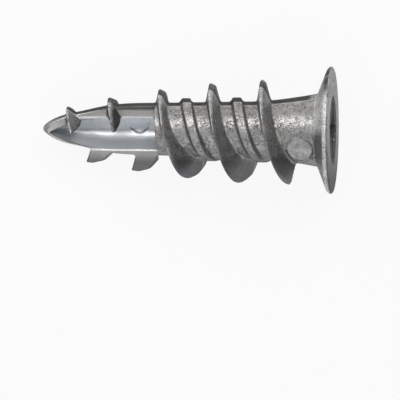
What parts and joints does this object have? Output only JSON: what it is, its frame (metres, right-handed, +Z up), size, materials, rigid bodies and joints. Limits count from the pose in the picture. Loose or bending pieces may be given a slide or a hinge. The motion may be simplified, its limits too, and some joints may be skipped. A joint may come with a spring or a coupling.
{
  "type": "self-drilling plasterboard anchor",
  "caption": "Zinc die-cast self-drilling anchor for plasterboard: split drill blade, coarse tapered thread and countersunk flange with a cross recess and a screw bore.",
  "frame": {"origin": "centre of the bounding box's bottom, on the floor the anchor lies on", "axes": "+X toward the head along the length, +Z up; the anchor lies on its side on the flange's rim and the thread, the blade's trough facing up"},
  "size_m": [0.0326, 0.014, 0.0139],
  "materials": {
    "zinc": "as cast, satin"
  },
  "bodies": {
    "root": {"anchor_body": "zinc"}
  },
  "joints": []
}
